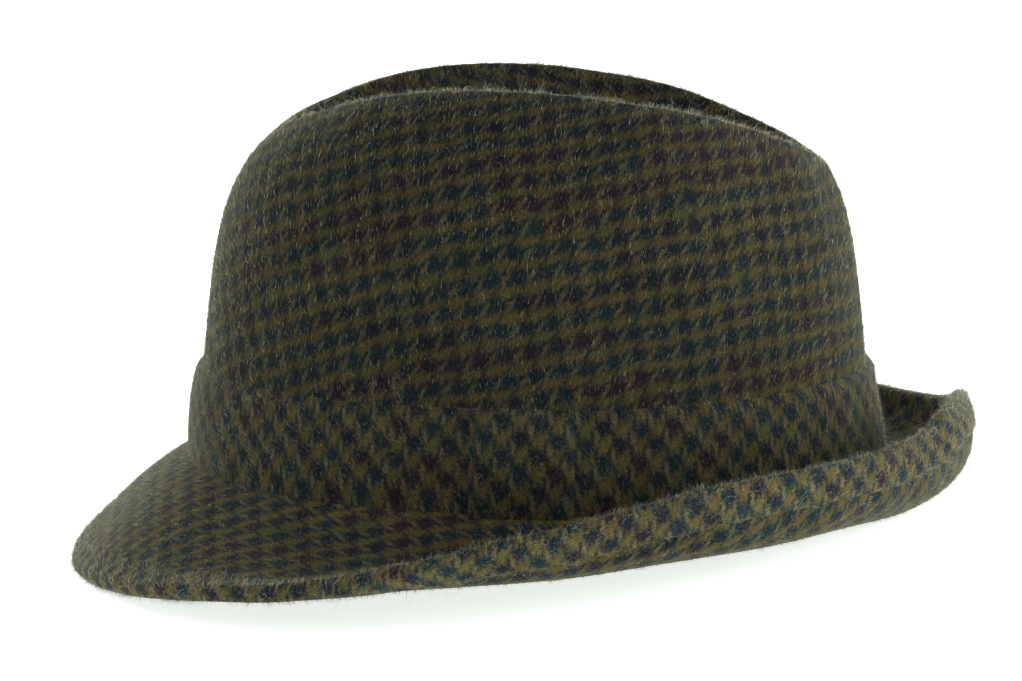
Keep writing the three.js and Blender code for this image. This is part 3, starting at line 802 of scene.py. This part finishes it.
# Nap: thin tapered fibres over the outside of a piece, each a closed spike of four faces, combed in small
# tufts. Strays are longer bent threads of the same wool.
def napOver(piece, name, density, length, radius, lift, spread, seed, bent=False):
    tree = bpy.data.node_groups.new(name, "GeometryNodeTree")
    tree.interface.new_socket("Geometry", in_out="INPUT", socket_type="NodeSocketGeometry")
    tree.interface.new_socket("Geometry", in_out="OUTPUT", socket_type="NodeSocketGeometry")
    nodes, links = tree.nodes, tree.links

    def add(kind, settings=None, **given):
        node = nodes.new(kind)
        for key, value in (settings or {}).items():
            setattr(node, key, value)
        for socket in node.inputs:
            key = socket.identifier.replace(" ", "")
            if key in given:
                if isinstance(given[key], bpy.types.NodeSocket):
                    links.new(given[key], socket)
                else:
                    socket.default_value = given[key]
        return node

    def chosen(node):
        return next(s for s in node.outputs if s.enabled)

    source = nodes.new("NodeGroupInput").outputs[0]
    thick = add("GeometryNodeInputNamedAttribute", {"data_type": "FLOAT"}, Name="hairs")
    comb = add("GeometryNodeInputNamedAttribute", {"data_type": "FLOAT_VECTOR"}, Name="comb")
    tufts = add("ShaderNodeTexNoise", None, Scale=tufting["tufts"], Detail=1.0)
    crowd = add("ShaderNodeMapRange", None, Value=tufts.outputs["Fac"])
    for socket, key in zip(crowd.inputs[1:5], ("from", "to", "least", "most")):
        socket.default_value = tufting[key]
    amount = add("ShaderNodeMath", {"operation": "MULTIPLY"}, Value=chosen(thick), Value_001=density)
    amount = add("ShaderNodeMath", {"operation": "MULTIPLY"},
                 Value=amount.outputs[0], Value_001=crowd.outputs[0])
    spots = add("GeometryNodeDistributePointsOnFaces", {"distribute_method": "RANDOM"},
                Mesh=source, Density=amount.outputs[0], Seed=seed)
    stray = add("FunctionNodeRandomValue", {"data_type": "FLOAT_VECTOR"},
                Min=(-1, -1, -1), Max=(1, 1, 1), Seed=seed + 1)
    lock = add("ShaderNodeTexNoise", None, Scale=tufting["locks"], Detail=1.0)
    lock = add("ShaderNodeVectorMath", {"operation": "SUBTRACT"}, Vector=lock.outputs["Color"],
               Vector_001=(0.5, 0.5, 0.5))
    lock = add("ShaderNodeVectorMath", {"operation": "SCALE"}, Vector=lock.outputs[0], Scale=spread * 5)
    up = add("ShaderNodeVectorMath", {"operation": "SCALE"}, Vector=spots.outputs["Normal"], Scale=lift)
    loose = add("ShaderNodeVectorMath", {"operation": "SCALE"}, Vector=chosen(stray), Scale=spread)
    way = add("ShaderNodeVectorMath", {"operation": "ADD"}, Vector=up.outputs[0], Vector_001=loose.outputs[0])
    way = add("ShaderNodeVectorMath", {"operation": "ADD"}, Vector=way.outputs[0], Vector_001=lock.outputs[0])
    way = add("ShaderNodeVectorMath", {"operation": "ADD"}, Vector=way.outputs[0], Vector_001=chosen(comb))
    roll = add("FunctionNodeRandomValue", {"data_type": "FLOAT_VECTOR"},
               Min=(0, 0, 0), Max=(0, 0, 6.28), Seed=seed + 6)
    roll = add("FunctionNodeEulerToRotation", None, Euler=chosen(roll))
    turn = add("FunctionNodeAlignRotationToVector", {"axis": "Z"},
               Rotation=roll.outputs[0], Vector=way.outputs[0])
    long = add("FunctionNodeRandomValue", {"data_type": "FLOAT"}, Min_001=0.35, Max_001=1.0, Seed=seed + 2)
    wide = add("FunctionNodeRandomValue", {"data_type": "FLOAT"}, Min_001=0.5, Max_001=1.7, Seed=seed + 4)
    if bent:
        path = add("GeometryNodeCurveQuadraticBezier", None, Resolution=5, Start=(0, 0, 0),
                   Middle=(0, 0, 0.7 * length * mm), End=(0.55 * length * mm, 0, 0.75 * length * mm))
        profile = add("GeometryNodeCurvePrimitiveCircle", {"mode": "RADIUS"},
                      Resolution=3, Radius=radius * mm)
        shape = add("GeometryNodeCurveToMesh", None, Curve=path.outputs[0], ProfileCurve=profile.outputs[0],
                    FillCaps=True).outputs[0]
        size = add("ShaderNodeCombineXYZ", None, X=chosen(long), Y=chosen(long), Z=chosen(long))
    else:
        shape = add("GeometryNodeMeshCone", {"fill_type": "NGON"}, Vertices=3, SideSegments=1, FillSegments=1,
                    RadiusTop=0.0, RadiusBottom=radius * mm, Depth=length * mm).outputs["Mesh"]
        size = add("ShaderNodeCombineXYZ", None, X=chosen(wide), Y=chosen(wide), Z=chosen(long))
    placed = add("GeometryNodeInstanceOnPoints", None, Points=spots.outputs["Points"],
                 Instance=shape, Rotation=turn.outputs[0], Scale=size.outputs[0])
    darkest = 0.55 if bent else 0.0
    tone = add("FunctionNodeRandomValue", {"data_type": "FLOAT"}, Min_001=darkest, Max_001=1.0, Seed=seed + 3)
    stored = add("GeometryNodeStoreNamedAttribute", {"data_type": "FLOAT", "domain": "INSTANCE"},
                 Geometry=placed.outputs[0], Name="shade", Value=chosen(tone))
    real = add("GeometryNodeRealizeInstances", None, Geometry=stored.outputs[0])
    links.new(real.outputs[0], nodes.new("NodeGroupOutput").inputs[0])

    nap = bpy.data.objects.new(name, piece.data.copy())
    bpy.context.collection.objects.link(nap)
    grow = nap.modifiers.new("grow", "NODES")
    grow.node_group = tree
    view = bpy.context.evaluated_depsgraph_get()
    mesh = bpy.data.meshes.new_from_object(nap.evaluated_get(view))
    nap.modifiers.clear()
    nap.data = mesh
    at = np.empty(len(mesh.vertices) * 3)
    mesh.vertices.foreach_get("co", at)
    at[2::3] = np.maximum(at[2::3], 0)
    mesh.vertices.foreach_set("co", at)
    mesh.update()
    print(name, len(mesh.polygons), "faces", sum(len(f.vertices) - 2 for f in mesh.polygons), "triangles")
    return nap


print("cloth")
made = {
    "crown_side": (makeCrownSide(), "crown_tweed"),
    "crown_tip": (makeCrownTip(), "crown_tweed"),
    "brim": (makeBrim(), "brim_tweed"),
    "brim_binding": (makeBinding(), "binding_tweed"),
    "hat_band": (makeBand(), "band_tweed"),
    "band_loop": (makeLoop(), "band_tweed"),
}

print("materials")
straight, bias = checkWeave("houndsCheck", 0.66), checkWeave("houndsBias", 0.94)
# gain: the cloth's own darkness with painted light and shade, as the same cloth is made lighter on the brim,
# binding and band than on the crown; fibre: the same for its nap; sheen: how much the nap glows at the edges
finishes = {
    "crown_tweed": {"check": straight, "gain": 0.76, "fibre": 1.22, "sheen": 0.32,
                    "tint": (0.86, 0.88, 0.60, 1), "offset": (0, 0.35, 0)},
    "brim_tweed": {"check": straight, "gain": 1.34, "fibre": 1.5, "sheen": 0.34,
                   "tint": (0.86, 0.88, 0.58, 1), "offset": (0.4, 0.1, 0)},
    "binding_tweed": {"check": bias, "gain": 1.62, "fibre": 1.6, "sheen": 0.12,
                      "tint": (0.86, 0.88, 0.58, 1), "offset": (0.2, 0.6, 0)},
    "band_tweed": {"check": bias, "gain": 1.02, "fibre": 1.4, "sheen": 0.40,
                   "tint": (0.86, 0.88, 0.64, 1), "offset": (0.7, 0.3, 0)},
}
cloths = {k: tweed(k, f["check"], f["gain"], f["sheen"], f["tint"], f["offset"]) for k, f in finishes.items()}
fibres = {k: fibreMaterial(k + "_fibre", f["check"], f["fibre"], f["offset"]) for k, f in finishes.items()}

print("nap")
naps = {  # density in fibres to a square metre, lengths in millimetres
    "crown_side": {"density": 560e3, "length": 2.3, "radius": 0.055, "lift": 0.42, "spread": 0.22},
    "crown_tip": {"density": 500e3, "length": 2.3, "radius": 0.055, "lift": 0.5, "spread": 0.4},
    "brim": {"density": 420e3, "length": 2.1, "radius": 0.055, "lift": 0.45, "spread": 0.4},
    "brim_binding": {"density": 640e3, "length": 2.5, "radius": 0.052, "lift": 0.75, "spread": 0.7},
    "hat_band": {"density": 700e3, "length": 2.0, "radius": 0.05, "lift": 0.4, "spread": 0.35},
    "band_loop": {"density": 900e3, "length": 2.0, "radius": 0.05, "lift": 0.45, "spread": 0.4},
}
strays = {"density": 30e3, "length": 4.2, "radius": 0.026, "lift": 0.75, "spread": 0.6}
for seed, (node, (piece, slot)) in enumerate(made.items()):
    piece.data.materials.append(cloths[slot])
    nap = napOver(piece, piece.name.replace("Cloth", "Nap"), seed=100 * seed + 5, **naps[node])
    loose = napOver(piece, piece.name.replace("Cloth", "Strays"), seed=100 * seed + 55, bent=True, **strays)
    for each in (nap, loose):
        each.data.materials.clear()
        each.data.materials.append(fibres[slot])
    for each in (piece, nap, loose):
        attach(each, "root")
    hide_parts(node)

print("studio")
studio = {"floor": 16, "world": 0.29, "glow": 0.80, "backdrop": 2.4, "softbox": 1.5, "front": 8, "back": 36}


def makePaper(name, size, place, turned, glow):
    bm = bmesh.new()
    bmesh.ops.create_grid(bm, x_segments=1, y_segments=1, size=0.5)
    bmesh.ops.scale(bm, verts=bm.verts[:], vec=(size[0], size[1], 1))
    bmesh.ops.transform(bm, matrix=Matrix.Translation(place) @ turned, verts=bm.verts[:])
    mesh = bpy.data.meshes.new(name)
    bm.to_mesh(mesh)
    bm.free()
    sheet = bpy.data.objects.new(name, mesh)
    bpy.context.collection.objects.link(sheet)
    paper = bpy.data.materials.new(name)
    paper.use_nodes = True
    shader = paper.node_tree.nodes["Principled BSDF"]
    shader.inputs["Base Color"].default_value = (0.86, 0.87, 0.87, 1)
    shader.inputs["Roughness"].default_value = 0.9
    shader.inputs["Emission Color"].default_value = (0.96, 1.0, 0.97, 1)
    shader.inputs["Emission Strength"].default_value = glow
    mesh.materials.append(paper)


def softbox(name, at, power):
    lamp = bpy.data.lights.new(name, "AREA")
    lamp.shape = "SQUARE"
    lamp.size = studio["softbox"]
    lamp.energy = power
    light = bpy.data.objects.new(name, lamp)
    light.location = at
    light.rotation_euler = (Vector((0, 0, 0.05)) - Vector(at)).to_track_quat("-Z", "Y").to_euler()
    bpy.context.collection.objects.link(light)


# pale paper under the hat and a lit one far behind it, as in a light tent
makePaper("floor", (studio["floor"], studio["floor"]), (0, 0, 0), Matrix.Identity(4), studio["glow"])
upright = Matrix.Rotation(math.radians(90), 4, "Y")
makePaper("backdrop", (5, studio["floor"]), (-4, 0, 2.45), upright, studio["backdrop"])
softbox("lightFront", (-0.2, -1.6, 0.9), studio["front"])
softbox("lightBack", (0.5, 1.7, 0.15), studio["back"])
world = bpy.data.worlds.new("studio")
world.use_nodes = True
world.node_tree.nodes["Background"].inputs["Color"].default_value = (0.97, 0.99, 1.0, 1)
world.node_tree.nodes["Background"].inputs["Strength"].default_value = studio["world"]
bpy.context.scene.world = world
bpy.context.scene.view_settings.view_transform = "Standard"

# The camera looks at the wearer's left from a little above, and leans with the hat, which has tipped back
view = {"distance": 1050, "elevation": 12.26, "yaw": 1.6, "aimRight": -6.2, "aimUp": 32.5, "lens": 123.92}


def makeCamera():
    yaw, elevation = math.radians(view["yaw"]), math.radians(view["elevation"])
    level = math.cos(elevation)
    back = Vector((math.cos(yaw) * level, -math.sin(yaw) * level, math.sin(elevation)))
    right = Vector((math.sin(yaw), math.cos(yaw), 0))
    up = back.cross(right)
    place = back * view["distance"]
    aim = right * view["aimRight"] + up * view["aimUp"]
    backwards = (place - aim).normalized()
    sideways = up.cross(backwards).normalized()
    upright = backwards.cross(sideways)
    turned = Matrix.Rotation(math.radians(rest["tip"]), 3, "X")
    axes = Matrix([turned @ sideways, turned @ upright, turned @ backwards]).transposed()
    camera = bpy.data.cameras.new("camera")
    camera.sensor_width = 36
    camera.lens = view["lens"]
    camera.clip_end = 60
    holder = bpy.data.objects.new("camera", camera)
    where = (turned @ place + Vector((0, rest["forward"], rest["lift"]))) * mm
    holder.matrix_world = Matrix.Translation(where) @ axes.to_4x4()
    bpy.context.collection.objects.link(holder)
    bpy.context.scene.camera = holder


makeCamera()
